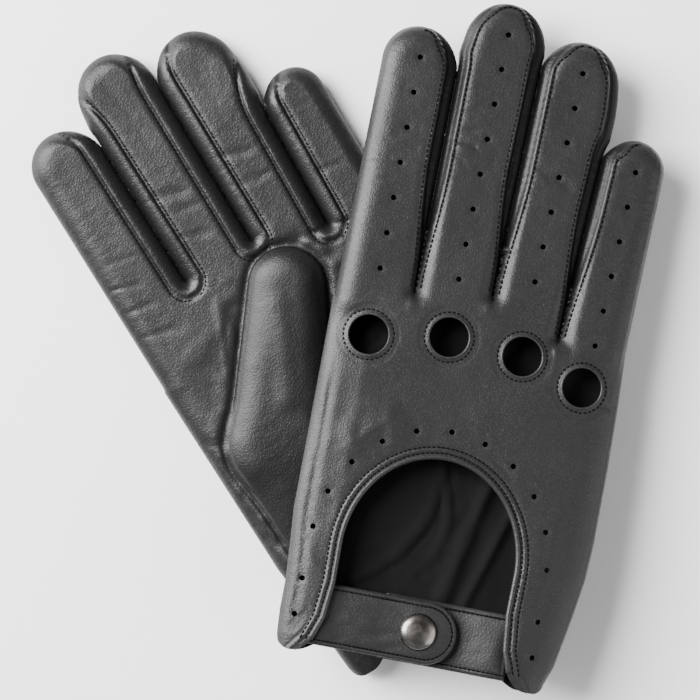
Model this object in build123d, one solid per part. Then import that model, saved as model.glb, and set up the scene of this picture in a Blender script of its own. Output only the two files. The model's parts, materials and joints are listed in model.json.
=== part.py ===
"""A pair of unlined leather driving gloves, one laid on the other. Millimetres, +Z up.

Each glove is sewn from a back panel with a keyhole opening and four knuckle holes, a palm panel with a
thumb hole, three fourchettes (the walls between the fingers), a set-in thumb, a two-piece wrist strap and
a four-piece press stud. The left glove lies palm up on its back panel. The right glove lies across it,
back up, leaning on the left glove's thumb.

Both gloves are cut from one pattern, drawn flat in the pattern frame: x runs from the thumb side to the
little finger, y from the cuff to the fingertips, and z from the palm's outer face (0) to the back's outer
face (GLOVE_DEPTH). The right glove stands as drawn; the left glove is its mirror image, turned over.
The last section of each finger, the end of the thumb and the strap's free tab turn on hinge lines in the
leather.
"""

import os
from collections import namedtuple
from math import cos, radians, sin

from build123d import *

# Leather
LEATHER = 1.0  # thickness of every panel
GLOVE_DEPTH = 11.0  # palm face to back face of the empty glove
EDGE_ROUND = 4.5  # outside radius where a panel rolls over its edge
SEAM_HEIGHT = 5.5  # where back and palm panels meet along the hand's two sides
FOURCHETTE_EDGE = 2.6  # width of the back and palm panels' roll beyond a fourchette

# Hand outline
RADIAL_X = -47.5  # thumb side
ULNAR_X = 55.0  # little-finger side
WAIST_Y = -45.0  # the hand tapers from here to the cuff
CUFF_Y = -92.0
CUFF_RADIAL_X = -42.5
CUFF_ULNAR_X = 46.0
CROTCH_LINE = ((-47.5, 30.0), (-34.0, 36.0), (-20.5, 38.0), (5.9, 41.0), (30.7, 32.0), (43.0, 28.0), (55.0, 24.0))

# Fingers: where each axis crosses ROOT_Y, its lean from +Y, and how far the tip reaches
ROOT_Y = 40.0
ROOT_DEPTH = 24.0  # how far a finger's tube runs into the hand
CROTCH_REACH = 14.0  # how far below ROOT_Y a fourchette may reach round its crotch
HINGE_GAP = 0.4  # slit in the leather at each hinge line
Finger = namedtuple("Finger", "name root_x lean tip_y root_width tip_width section vents")
FINGERS = (
    Finger("index", -34.0, 0.1, 122.0, 26.0, 24.5, 38.0, 7),
    Finger("middle", -7.2, 0.9, 135.5, 25.6, 25.5, 60.0, 8),
    Finger("ring", 18.2, 2.4, 127.5, 24.0, 25.4, 57.0, 7),
    Finger("little", 43.0, 2.8, 98.0, 23.4, 20.8, 36.0, 6),
)

# Round holes in the back panel
KNUCKLE_HOLES = ((-33.6, 15.4), (-6.8, 19.6), (18.7, 17.9), (40.5, 11.4))
KNUCKLE_RADIUS = 6.8  # clear hole, inside the facing's lip
KNUCKLE_FACING = 2.0  # width of the ring behind each hole
VENT_RADIUS = 0.8
VENT_PITCH = 12.1
VENT_FROM_TIP = 11.4

# Keyhole opening over the wrist
OPENING_CENTRE_Y = -52.0
OPENING_RADIUS = 30.0
OPENING_WAIST = 29.2  # half width where the strap crosses
OPENING_WAIST_Y = -68.0
OPENING_FLARE = 33.5  # half width at the cuff
OPENING_VENT_OFFSET = 10.0
FACING_WIDTH = 3.0
FACING_THICKNESS = 0.8
LIP = 0.8  # turned edge of a facing, inside the hole

# Wrist strap and press stud
STRAP_Y = -79.2
STRAP_WIDTH = 21.0
STRAP_BASE_WIDTH = 22.0
STRAP_THICKNESS = 1.6
TAB_BOTTOM = 6.6
TAB_HINGE_X = -26.0
TAB_END_X = 15.3
STUD_GAP = 0.05  # closed socket to the stud's flange
BASE_FREE_X = -9.0
BASE_RISE = (12.0, 29.0)  # the base climbs to the back panel between these
STRAP_SEWN_X = 36.0  # both strap ends are sewn in this far out
STUD_X = 1.5
CAP_RADIUS = 6.25
CAP_HEIGHT = 2.7
CAP_RIM = 0.6
STEM_RADIUS = 1.5
STEM_CLEARANCE = 0.05
SOCKET_RADIUS = 5.2
SOCKET_HEIGHT = 1.75
SOCKET_ROOF = 0.35
BULB_RADIUS = 2.1
BULB_CLEARANCE = 0.25
FLANGE_RADIUS = 4.6
FLANGE_THICKNESS = 0.4
POST_FLANGE = 0.8

# Thumb: circles along the flattened thumb, and the circles of the hole it is set into
THUMB_GAP = 0.3  # thumb to palm panel
THUMB_DEPTH = 6.5
THUMB_ROUND = 2.8
THUMB_LEAN = 38.0
THUMB_CIRCLES = ((-31.6, -14.7, 11.6), (-2.2, 23.3, 14.5), (12.3, 33.9, 12.5))
THUMB_TIP_LEAN = 53.8  # the thumb's last section bends further across the palm
THUMB_HOLE = ((-31.6, -22.0, 8.0), (-19.0, -46.0, 17.0))
THUMB_SEAM = 2.5  # the thumb's base overlaps the palm this far round its hole
THUMB_BASE_DEPTH = 2.6  # height of the thumb's base at its far end
THUMB_BASE_FALL = (0.5, -0.87)  # direction in which the base gets lower
THUMB_BASE_RUN = 46.0
THUMB_TIP_SECTION = 28.5

# How the two gloves lie
RIGHT_TURN = -11.0
RIGHT_AT = (36.76, -16.76)
RIGHT_REST = 2.4  # how far the right glove's frame stands above the left glove's thumb
RIGHT_SLOPE = (-0.076, -0.065)  # rise per millimetre along the pattern's x and y
LEFT_TURN = 32.5
LEFT_AT = (-8.38, -11.28)

FAR = 400.0


def finger_point(finger, along, side=0.0):
    """A point on a finger's axis, along it from ROOT_Y, and to one side of it."""
    lean = radians(finger.lean)
    return (
        finger.root_x + along * sin(lean) + side * cos(lean),
        ROOT_Y + along * cos(lean) - side * sin(lean),
    )


def finger_reach(finger):
    """Distance along a finger's axis from ROOT_Y to its tip."""
    return (finger.tip_y - ROOT_Y) / cos(radians(finger.lean))


def hull(circles, inset=0.0):
    """The outline round some circles (x, y, radius), as a face."""
    return make_hull([Edge.make_circle(r - inset, Plane((x, y, 0))) for x, y, r in circles])


def prism(face, low, high):
    """A flat face raised to stand between two heights."""
    return extrude(Pos(0, 0, low) * face, high - low)


def pillow(face, low, high, radius):
    """A prism whose upper and lower edges are rolled over."""
    block = prism(face, low, high)
    rims = [e for e in block.edges() if abs(e.bounding_box().size.Z) < 1e-6]
    return fillet(rims, radius)


def half_space(point, lean, ahead):
    """Everything ahead of (or behind) a line across a limb that leans from +Y."""
    block = Box(FAR, FAR, FAR, align=(Align.CENTER, Align.MIN if ahead else Align.MAX, Align.CENTER))
    return Pos(point[0], point[1], 0) * Rot(0, 0, -lean) * block


def slab(low, high):
    """Everything between two heights."""
    return Pos(0, 0, low) * Box(FAR, FAR, high - low, align=(Align.CENTER, Align.CENTER, Align.MIN))


def hand_face(inset):
    """The hand's outline from the finger crotches to past the cuff."""
    low = CUFF_Y - 20
    points = (
        *CROTCH_LINE,
        (ULNAR_X, WAIST_Y),
        (CUFF_ULNAR_X, CUFF_Y),
        (CUFF_ULNAR_X, low),
        (CUFF_RADIAL_X, low),
        (CUFF_RADIAL_X, CUFF_Y),
        (RADIAL_X, WAIST_Y),
    )
    face = make_face(Polyline(*points, close=True))
    return offset(face, -inset, kind=Kind.INTERSECTION) if inset else face


def finger_face(finger, inset):
    """A finger's outline, from inside the hand to its tip."""
    tip_radius = finger.tip_width / 2
    root = finger_point(finger, -ROOT_DEPTH)
    tip = finger_point(finger, finger_reach(finger) - tip_radius)
    return hull(((*root, finger.root_width / 2), (*tip, tip_radius)), inset)


def envelope(inset):
    """Hand and fingers as one rounded form, or its hollow when inset by the leather."""
    low, high, radius = inset, GLOVE_DEPTH - inset, EDGE_ROUND - inset
    form = pillow(hand_face(inset), low, high, radius)
    for finger in FINGERS:
        form += pillow(finger_face(finger, inset), low, high, radius)
    return form


def hand_shell():
    """The whole glove's skin, open at the cuff."""
    skin = envelope(0.0) - envelope(LEATHER)
    return skin & half_space((0, CUFF_Y), 0, True)


def fourchette_zone(left, right):
    """The block between two neighbouring fingers' axes that holds the wall between them."""
    points = (
        finger_point(left, -CROTCH_REACH),
        finger_point(left, finger_reach(left) + 10),
        finger_point(right, finger_reach(right) + 10),
        finger_point(right, -CROTCH_REACH),
    )
    return prism(make_face(Polyline(*points, close=True)), FOURCHETTE_EDGE, GLOVE_DEPTH - FOURCHETTE_EDGE)


def opening_face(grow):
    """The keyhole opening's outline, grown outwards."""
    radius = OPENING_RADIUS + grow
    waist, flare, low = OPENING_WAIST + grow, OPENING_FLARE + grow, CUFF_Y - 10
    legs = Polyline(
        (-radius, OPENING_CENTRE_Y),
        (-waist, OPENING_WAIST_Y),
        (-flare, CUFF_Y),
        (-flare, low),
        (flare, low),
        (flare, CUFF_Y),
        (waist, OPENING_WAIST_Y),
        (radius, OPENING_CENTRE_Y),
        close=True,
    )
    return Pos(0, OPENING_CENTRE_Y) * Circle(radius) + make_face(legs)


def finger_vents(finger):
    """Centres of the punched holes down the back of a finger."""
    start = finger_reach(finger) - VENT_FROM_TIP
    return [finger_point(finger, start - i * VENT_PITCH) for i in range(finger.vents)]


def opening_vents():
    """Centres of the punched holes that follow the opening's edge."""
    radius = OPENING_RADIUS + OPENING_VENT_OFFSET
    step = VENT_PITCH / radius
    arc = [(radius * sin(i * step), OPENING_CENTRE_Y + radius * cos(i * step)) for i in range(-5, 6)]
    legs = [(s * (radius + 1.5), OPENING_CENTRE_Y - 2 - i * VENT_PITCH) for i in (1, 2) for s in (-1, 1)]
    return arc + legs


def pegs(centres, radius):
    """Upright cutters at some centres."""
    return [Pos(x, y, GLOVE_DEPTH) * Cylinder(radius, 4 * LEATHER) for x, y in centres]


def leather_panels():
    """The back and palm panels and the fourchettes, before they are divided at the hinge lines."""
    skin = hand_shell()
    zones = [fourchette_zone(a, b) for a, b in zip(FINGERS, FINGERS[1:])]
    back = skin & slab(SEAM_HEIGHT, FAR)
    palm = skin & slab(-FAR, SEAM_HEIGHT)
    for zone in zones:
        back -= zone
        palm -= zone
    back -= prism(opening_face(0), SEAM_HEIGHT, GLOVE_DEPTH + 1)
    back -= pegs(KNUCKLE_HOLES, KNUCKLE_RADIUS + LIP)
    vents = opening_vents() + [v for f in FINGERS for v in finger_vents(f)]
    back -= pegs(vents, VENT_RADIUS)
    palm -= prism(hull(THUMB_HOLE), -1, LEATHER + 1)
    walls = {
        f"fourchette_{a.name}_{b.name}": skin & zone for (a, b), zone in zip(zip(FINGERS, FINGERS[1:]), zones)
    }
    return {"back_panel": back, "palm_panel": palm, **walls}


def finger_hinge(finger):
    """Where a finger's hinge line crosses its axis."""
    return finger_point(finger, finger_reach(finger) - finger.section)


def tip_block(finger, gap):
    """The space that holds a finger's last section, from gap past its hinge line."""
    point = finger_point(finger, finger_reach(finger) - finger.section + gap)
    wide = finger_face(finger, -HINGE_GAP)
    return prism(wide, -1, GLOVE_DEPTH + 1) & half_space(point, finger.lean, True)


def divided_panels():
    """The panels of the hand, and the back, palm and walls of each finger's last section."""
    panels = leather_panels()
    walls = [name for name in panels if name.startswith("fourchette")]
    parts = {}
    for finger in FINGERS:
        block = tip_block(finger, HINGE_GAP / 2)
        parts[f"{finger.name}_tip_back"] = panels["back_panel"] & block
        parts[f"{finger.name}_tip_palm"] = panels["palm_panel"] & block
        near = [panels[name] & block for name in walls if finger.name in name]
        parts[f"{finger.name}_tip_walls"] = Compound([s for n in near for s in n.solids()])
        for name in panels:
            panels[name] = panels[name] - tip_block(finger, -HINGE_GAP / 2)
    return {**panels, **parts}


def opening_facing():
    """The strip behind the keyhole's edge, with its turned lip."""
    under = GLOVE_DEPTH - LEATHER
    band = prism(opening_face(FACING_WIDTH) - opening_face(0), under - FACING_THICKNESS, under)
    lip = prism(opening_face(0) - opening_face(-LIP), under - FACING_THICKNESS, GLOVE_DEPTH)
    return (band + lip) & half_space((0, CUFF_Y), 0, True)


def knuckle_facings():
    """A ring behind each knuckle hole, with its turned lip."""
    under = GLOVE_DEPTH - LEATHER
    hollow = envelope(LEATHER)
    rings = []
    for x, y in KNUCKLE_HOLES:
        edge, clear = KNUCKLE_RADIUS + LIP, KNUCKLE_RADIUS
        ring = Pos(x, y) * prism(Circle(edge + KNUCKLE_FACING) - Circle(clear), under - FACING_THICKNESS, under)
        lip = Pos(x, y) * prism(Circle(edge) - Circle(clear), under, GLOVE_DEPTH)
        rings.append((ring & hollow) + lip)
    return Compound([s for ring in rings for s in ring.solids()])


def base_top():
    """Height of the strap base's upper face under the closed tab."""
    return TAB_BOTTOM - SOCKET_HEIGHT - STUD_GAP - FLANGE_THICKNESS


def strap_block(x_low, x_high, z_low, z_high, width):
    """A flat length of strap."""
    size = (x_high - x_low, width, z_high - z_low)
    return Pos(x_low, STRAP_Y, z_low) * Box(*size, align=(Align.MIN, Align.CENTER, Align.MIN))


def strap_pieces():
    """The free tab with its round end, its sewn-in root, and the base that carries the stud."""
    tab_top = TAB_BOTTOM + STRAP_THICKNESS
    sewn_top = GLOVE_DEPTH - LEATHER - FACING_THICKNESS
    hole = Pos(STUD_X, STRAP_Y, 0) * Cylinder(STEM_RADIUS + STEM_CLEARANCE, FAR)
    radius = STRAP_WIDTH / 2
    tab = strap_block(TAB_HINGE_X + HINGE_GAP / 2, TAB_END_X - radius, TAB_BOTTOM, tab_top, STRAP_WIDTH)
    tab += prism(Pos(TAB_END_X - radius, STRAP_Y) * Circle(radius), TAB_BOTTOM, tab_top)
    root = strap_block(-STRAP_SEWN_X, TAB_HINGE_X - HINGE_GAP / 2, TAB_BOTTOM, tab_top, STRAP_WIDTH)
    root += strap_block(-STRAP_SEWN_X, -OPENING_WAIST, tab_top, sewn_top, STRAP_WIDTH)
    low, high = base_top() - STRAP_THICKNESS, sewn_top - STRAP_THICKNESS
    near, far = BASE_RISE
    path = ((BASE_FREE_X, low), (near, low), (far, high), (STRAP_SEWN_X, high))
    outline = path + tuple((x, z + STRAP_THICKNESS) for x, z in reversed(path))
    profile = Plane.XZ * make_face(Polyline(*outline, close=True))
    base = Pos(0, STRAP_Y, 0) * extrude(profile, STRAP_BASE_WIDTH / 2, both=True)
    return {"strap_tab": tab - hole, "strap_anchor": root, "strap_base": base - hole}


def disc(radius, low, high):
    """A round metal disc on the press stud's axis."""
    return prism(Pos(STUD_X, STRAP_Y) * Circle(radius), low, high)


def press_stud():
    """Cap and socket on the tab, stud and post on the base."""
    tab_top = TAB_BOTTOM + STRAP_THICKNESS
    rest = base_top()
    under = rest - STRAP_THICKNESS
    cap = fillet(disc(CAP_RADIUS, tab_top, tab_top + CAP_HEIGHT).edges().group_by(Axis.Z)[-1], CAP_HEIGHT - CAP_RIM)
    cap += disc(STEM_RADIUS, TAB_BOTTOM, tab_top)
    socket = disc(SOCKET_RADIUS, TAB_BOTTOM - SOCKET_HEIGHT, TAB_BOTTOM)
    socket -= disc(BULB_RADIUS + BULB_CLEARANCE, TAB_BOTTOM - SOCKET_HEIGHT - 1, TAB_BOTTOM - SOCKET_ROOF)
    stud = disc(FLANGE_RADIUS, rest, rest + FLANGE_THICKNESS)
    stud += disc(BULB_RADIUS, rest + FLANGE_THICKNESS, TAB_BOTTOM - SOCKET_ROOF - BULB_CLEARANCE)
    post = disc(FLANGE_RADIUS, under - POST_FLANGE, under)
    post += disc(STEM_RADIUS, under, rest)
    return {"snap_cap": cap, "snap_socket": socket, "snap_stud": stud, "snap_post": post}


def thumb_line(gap):
    """Where the thumb's last hinge line crosses its axis, moved a little towards the tip."""
    x, y, radius = THUMB_CIRCLES[-1]
    back = THUMB_TIP_SECTION - radius - gap
    lean = radians(THUMB_TIP_LEAN)
    return (x - back * sin(lean), y - back * cos(lean))


def thumb_pieces():
    """The thumb set into the palm's thumb hole, and its last section."""
    low, high = -THUMB_GAP - THUMB_DEPTH, -THUMB_GAP
    root = THUMB_CIRCLES[0]
    tube = pillow(hull(THUMB_CIRCLES), low, high, THUMB_ROUND)
    tube -= pillow(hull(THUMB_CIRCLES, LEATHER), low + LEATHER, high - LEATHER, THUMB_ROUND - LEATHER)
    tube = tube & half_space(root, THUMB_LEAN, True)
    base = prism(hull((*THUMB_HOLE, root), -THUMB_SEAM), low, 0) & sloping_block(0.0)
    base -= prism(hull((*THUMB_HOLE, root), LEATHER), low, 0) & sloping_block(LEATHER)
    base = base & half_space(root, THUMB_LEAN, False)
    tip = tube & half_space(thumb_line(HINGE_GAP / 2), THUMB_TIP_LEAN, True)
    rest = tube & half_space(thumb_line(-HINGE_GAP / 2), THUMB_TIP_LEAN, False)
    return {"thumb": rest + base, "thumb_tip": tip}


def sloping_block(inset):
    """The block between the palm's face and the slope that the thumb's base falls along."""
    full = THUMB_GAP + THUMB_DEPTH - inset
    fall = Vector(*THUMB_BASE_FALL, (full + inset - THUMB_BASE_DEPTH) / THUMB_BASE_RUN)
    plane = Plane(origin=(*THUMB_CIRCLES[0][:2], -full), x_dir=fall.normalized(), z_dir=fall.cross(Vector(0.87, 0.5, 0)) * -1)
    up = plane if plane.z_dir.Z > 0 else Plane(plane.origin, plane.x_dir, -plane.z_dir)
    return up.location * Box(FAR, FAR, FAR, align=(Align.CENTER, Align.CENTER, Align.MIN))


def glove():
    """Every piece of one glove, in the pattern frame."""
    return {
        **divided_panels(),
        "opening_facing": opening_facing(),
        "knuckle_facings": knuckle_facings(),
        **strap_pieces(),
        **press_stud(),
        **thumb_pieces(),
    }


def right_place():
    """Where the right glove's pattern frame lies: turned, and leaning down to the little finger."""
    along, across = RIGHT_SLOPE[1], RIGHT_SLOPE[0]
    height = GLOVE_DEPTH + THUMB_GAP + THUMB_DEPTH + RIGHT_REST
    tilt = Plane((0, 0, height), Vector(1, 0, across), Vector(-across, -along, 1))
    return Pos(*RIGHT_AT, 0) * Rot(0, 0, RIGHT_TURN) * tilt.location


def left_place():
    """Where the left glove's mirrored pattern frame lies: flat on its back."""
    return Pos(*LEFT_AT, GLOVE_DEPTH) * Rot(0, 0, LEFT_TURN)


def pair():
    """Both gloves as they lie, before they are centred."""
    pieces = glove()
    right = {f"right_{name}": right_place() * shape for name, shape in pieces.items()}
    turned = {name: mirror(shape, about=Plane.XY) for name, shape in pieces.items()}
    left = {f"left_{name}": left_place() * shape for name, shape in turned.items()}
    return {**right, **left}


def centring(pieces):
    """The shift that puts the middle of the pair's foot at the origin."""
    box = Compound([s for shape in pieces.values() for s in shape.solids()]).bounding_box()
    return Pos(-box.center().X, -box.center().Y, -box.min.Z)


if __name__ == "__main__":
    os.makedirs("parts", exist_ok=True)
    pieces = pair()
    shift = centring(pieces)
    for name, shape in pieces.items():
        export_step(Compound((shift * shape).solids()), f"parts/{name}.step")
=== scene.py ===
"""Looks for a pair of unlined leather driving gloves: panels, seams, stitches, straps and press studs.

Both gloves are drawn in one pattern frame, in millimetres: x from the thumb side to the little finger, y from
cuff to fingertips, z from the palm's outer face (0) to the back's outer face (DEPTH). Each glove's place in the
row is read from its joints, and the left glove is the same pattern mirrored.
"""

import json
from math import cos, pi, radians, sin

import bpy
import numpy as np
from mathutils.kdtree import KDTree
from mathutils import Matrix, Vector
from mathutils.geometry import delaunay_2d_cdt


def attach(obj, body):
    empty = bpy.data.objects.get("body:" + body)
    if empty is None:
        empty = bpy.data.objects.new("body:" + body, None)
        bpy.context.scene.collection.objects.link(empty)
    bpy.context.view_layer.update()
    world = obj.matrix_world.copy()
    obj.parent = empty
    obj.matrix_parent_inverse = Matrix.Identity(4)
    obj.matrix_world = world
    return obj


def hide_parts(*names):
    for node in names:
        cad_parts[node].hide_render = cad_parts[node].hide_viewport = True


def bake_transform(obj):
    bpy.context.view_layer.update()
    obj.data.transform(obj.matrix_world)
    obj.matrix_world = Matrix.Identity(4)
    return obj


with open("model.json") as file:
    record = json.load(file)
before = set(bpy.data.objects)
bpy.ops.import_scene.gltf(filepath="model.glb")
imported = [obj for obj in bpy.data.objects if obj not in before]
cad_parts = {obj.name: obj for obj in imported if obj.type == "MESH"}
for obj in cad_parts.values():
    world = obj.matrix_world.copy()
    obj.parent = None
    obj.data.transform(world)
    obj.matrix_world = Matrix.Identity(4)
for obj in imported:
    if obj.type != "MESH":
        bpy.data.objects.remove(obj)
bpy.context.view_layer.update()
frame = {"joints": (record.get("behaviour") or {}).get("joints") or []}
JOINTS = {joint["name"]: joint for joint in frame["joints"]}
MM = 0.001

# ---------------------------------------------------------------- pattern, mm
DEPTH = 11.0
MID = 5.5  # height of a finger's side, halfway between back and palm
SKIN = 0.9  # leather thickness
STRAP_HINGE = (-26.0, -79.2, 8.2)
ROOT_Y = 40.0
ROOT_DEPTH = 24.0
# name, x at ROOT_Y, lean, tip y, width at root and tip, length of the last section, vents,
# inset of the back seam from the thumb side and from the little-finger side
FINGERS = (
    ("index", -34.0, 0.1, 122.0, 26.0, 24.5, 38.0, 7, 1.2, 4.2),
    ("middle", -7.2, 0.9, 135.5, 25.6, 25.5, 60.0, 8, 2.6, 4.4),
    ("ring", 18.2, 2.4, 127.5, 24.0, 25.4, 57.0, 7, 3.2, 4.2),
    ("little", 43.0, 2.8, 98.0, 23.4, 20.8, 36.0, 6, 3.4, 1.2),
)
# crotch between neighbouring fingers: x and y on the back, x and y of the slot's end on the palm
CROTCHES = ((-21.0, 32.8, -20.6, 54.5), (4.6, 36.4, 6.2, 54.0), (30.2, 26.3, 31.0, 45.0))
HAND_SIDES = (
    (53.9, 25.0), (54.6, 8.0), (55.0, -14.0), (54.9, -40.0), (54.2, -52.0), (52.4, -64.0),
    (50.4, -75.0), (48.9, -83.0), (46.6, -89.0), (45.0, -98.0),
    (-42.6, -98.0), (-44.9, -88.0), (-45.4, -80.0), (-45.4, -70.0), (-46.2, -58.0), (-47.2, -46.0), (-47.4, 26.0),
)
BACK_TOP = ((-34.0, 31.0), (-21.0, 32.8), (-8.0, 36.0), (4.6, 36.4), (17.0, 33.0), (30.2, 26.3), (43.0, 25.0))
PALM_TOP = ((-34.0, 50.0), (-20.6, 54.5), (-8.0, 54.5), (6.2, 54.0), (18.0, 49.0), (31.0, 45.0), (43.0, 40.0))
KNUCKLES = ((-33.6, 15.4), (-6.8, 19.6), (18.7, 17.9), (40.5, 11.4))
KNUCKLE_R = 6.8
VENT_R = 0.95
VENT_PITCH = 12.1
OPENING = (0.0, -54.5, 29.6, 33.5)  # centre x, y, half width, height of the arch
OPENING_FLARE = ((-68.0, 29.4), (-80.0, 30.6), (-88.0, 33.4), (-94.0, 38.0))
SWELL = 2.4  # how far a finger's sides swell towards the next finger
SLIT = 0.03  # half the gap left between two fingers
CUFF_Y = -92.6
PALM_SEAM = 6.2  # from the slot between two fingers to the seam of its wall on the palm
PALM_STITCH = PALM_SEAM + 0.75  # from the slot to the stitches beside that seam
FINE_THREAD = 0.22  # radius
SEWN_TO_Y = -89.0  # the rows round the opening stop here, short of the cuff
FACING_TO_Y = -89.5
STRAP_THICK = 1.6
STRAP_BORDER = 1.7  # from a strap's edge to its stitches
THUMB_CREASE = 7.0  # half the length over which the thumb's end bends
STRAP_Y = -79.2
STUD = (1.5, -79.2)
THUMB = ((8.0, 34.6, 13.4), (-22.5, -10.1, 18.0), (-17.5, -42.2, 22.0))
THUMB_TIP_LEAN = 53.8


def glove_place(side):
    """The matrix that takes the pattern frame to the row frame."""
    turn = 1.0 if side == "left" else -1.0
    strap = JOINTS[f"{side}_strap_lift"]
    y_way = Vector(strap["axis"]).normalized() * turn
    across = Vector(JOINTS[f"{side}_index_curl"]["axis"]) * turn
    x_way = (across - across.dot(y_way) * y_way).normalized()
    z_way = x_way.cross(y_way) * -turn
    rows = Matrix((x_way, y_way, z_way)).transposed() * MM
    origin = Vector(strap["pos_m"]) - rows @ Vector(STRAP_HINGE)
    return Matrix.Translation(origin) @ rows.to_4x4()


PLACES = {side: glove_place(side) for side in ("left", "right")}


# ---------------------------------------------------------------- shaping helpers
def smooth(low, high, value):
    t = np.clip((value - low) / (high - low), 0.0, 1.0)
    return t * t * (3 - 2 * t)


def rise(depth, reach):
    """A quarter-round rise from 0 at an edge to 1 at reach inside it."""
    t = np.clip(depth / reach, 0.0, 1.0)
    return np.sqrt(1.0 - (1.0 - t) ** 2)


def bell(distance, width):
    return np.exp(-((distance / width) ** 2))


def noise(x, y, cell, seed):
    """Smooth random heights from -1 to 1 with features about one cell across."""
    table = np.random.default_rng(seed).uniform(-1, 1, (64, 64))
    u, v = x / cell + 640.0, y / cell + 640.0
    i, j = np.floor(u).astype(int), np.floor(v).astype(int)
    a, b = u - i, v - j
    a, b = a * a * (3 - 2 * a), b * b * (3 - 2 * b)

    def corner(p, q):
        return table[(i + p) % 64, (j + q) % 64]

    low = corner(0, 0) * (1 - a) + corner(1, 0) * a
    high = corner(0, 1) * (1 - a) + corner(1, 1) * a
    return low * (1 - b) + high * b


def capsule(x, y, a, b):
    """Distance outside the outline round two circles (x, y, radius)."""
    length = np.hypot(b[0] - a[0], b[1] - a[1])
    ux, uy = (b[0] - a[0]) / length, (b[1] - a[1]) / length
    along = (x - a[0]) * ux + (y - a[1]) * uy
    aside = np.abs((x - a[0]) * uy - (y - a[1]) * ux)
    k = (a[2] - b[2]) / length
    c = np.sqrt(1 - k * k)
    q = c * along - k * aside
    near = np.hypot(aside, along) - a[2]
    far = np.hypot(aside, along - length) - b[2]
    return np.where(q < 0, near, np.where(q > c * length, far, c * aside + k * along - a[2]))


def polygon(x, y, points):
    """Distance outside a closed polygon."""
    best = np.full(np.shape(x), 1e9)
    inside = np.zeros(np.shape(x), bool)
    for (ax, ay), (bx, by) in zip(points, points[1:] + points[:1]):
        ex, ey = bx - ax, by - ay
        t = np.clip(((x - ax) * ex + (y - ay) * ey) / (ex * ex + ey * ey), 0, 1)
        best = np.minimum(best, np.hypot(x - ax - t * ex, y - ay - t * ey))
        crosses = (ay > y) != (by > y)
        inside ^= crosses & (x < ex * (y - ay) / (ey if ey else 1e-9) + ax)
    return np.where(inside, -best, best)


def segment(x, y, a, b):
    """Distance from a straight line between two points."""
    ex, ey = b[0] - a[0], b[1] - a[1]
    t = np.clip(((x - a[0]) * ex + (y - a[1]) * ey) / (ex * ex + ey * ey), 0, 1)
    return np.hypot(x - a[0] - t * ex, y - a[1] - t * ey)


def soft_max(a, b, blend):
    h = np.maximum(blend - np.abs(a - b), 0.0) / blend
    return np.maximum(a, b) + h * h * blend * 0.25


def finger_point(finger, along, side=0.0):
    lean = radians(finger[2])
    return (
        finger[1] + along * sin(lean) + side * cos(lean),
        ROOT_Y + along * cos(lean) - side * sin(lean),
    )


def finger_reach(finger):
    return (finger[3] - ROOT_Y) / cos(radians(finger[2]))


def finger_circles(finger):
    radius = finger[5] / 2
    return (
        (*finger_point(finger, -ROOT_DEPTH), finger[4] / 2),
        (*finger_point(finger, finger_reach(finger) - radius), radius),
    )


def finger_along(finger, x, y):
    """Distance along a finger from ROOT_Y, and signed distance to the side of its axis."""
    lean = radians(finger[2])
    dx, dy = x - finger[1], y - ROOT_Y
    return dx * sin(lean) + dy * cos(lean), dx * cos(lean) - dy * sin(lean)


def back_inset(index, x, y):
    """How far inside a finger's outline its back seam runs."""
    finger = FINGERS[index]
    side = finger_along(finger, x, y)[1]
    share = side / (finger[5] / 2)
    low = CROTCHES[max(index - 1, 0)][1]
    high = CROTCHES[min(index, 2)][1]
    grow_low = 1.0 if index == 0 else 0.18 + 0.82 * smooth(low - 1, low + 46, y)
    grow_high = 1.0 if index == 3 else 0.18 + 0.82 * smooth(high - 1, high + 46, y)
    width = np.where(side < 0, finger[8] * grow_low, finger[9] * grow_high)
    return 0.7 + (width - 0.7) * smooth(0.1, 0.8, np.abs(share))


def slot_distance(index, x, y, palm=True):
    """Distance from the slot between two neighbouring fingers, on the palm or on the back."""
    left = capsule(x, y, *finger_circles(FINGERS[index]))
    right = capsule(x, y, *finger_circles(FINGERS[index + 1]))
    return np.hypot((left - right) / 2, np.maximum(0.0, CROTCHES[index][3 if palm else 1] - y))


def finger_outs(x, y):
    """Each finger's distance outside its swollen outline, and again with its neighbours kept clear of it."""
    plain = [capsule(x, y, *finger_circles(f)) for f in FINGERS]
    full, cut = [], []
    for i, finger in enumerate(FINGERS):
        along, aside = finger_along(finger, x, y)
        inner = np.where(aside < 0, float(i > 0), float(i < 3)) * smooth(0.0, 3.0, np.abs(aside))
        grown = plain[i] - SWELL * inner * smooth(0.98, 0.72, along / finger_reach(finger))
        limit = grown
        for j in (i - 1, i + 1):
            if 0 <= j <= 3:
                limit = np.maximum(limit, (plain[i] - plain[j]) / 2 + SLIT)
        full.append(grown)
        cut.append(limit)
    return full, cut


def finger_edge(index, step):
    """Points along a finger's swollen outline."""
    points = capsule_points(*finger_circles(FINGERS[index]), step)

    def shape(px, py):
        return finger_outs(px, py)[1][index]

    for _ in range(5):
        x, y = points[:, 0], points[:, 1]
        gx, gy = gradient(shape, x, y)
        points = points - 0.9 * shape(x, y)[:, None] * np.stack([gx, gy], 1)
    return points


def opening_outline(grow=0.0):
    """The keyhole's edge as points, from the cuff on the thumb side round to the other."""
    cx, cy, half, arch = OPENING
    left = [(cx - w - grow, y) for y, w in reversed(OPENING_FLARE)]
    turns = np.linspace(pi, 0, 61)
    top = [(cx + (half + grow) * cos(t), cy + (arch + grow) * sin(t)) for t in turns]
    right = [(cx + w + grow, y) for y, w in OPENING_FLARE]
    return left + top + right


def hand_outline(top):
    return list(HAND_SIDES) + list(top)


def outline_distance(x, y, palm):
    """Distance outside the glove laid flat, and each finger's own."""
    hand = polygon(x, y, hand_outline(PALM_TOP if palm else BACK_TOP))
    return hand, finger_outs(x, y)[1]


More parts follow.
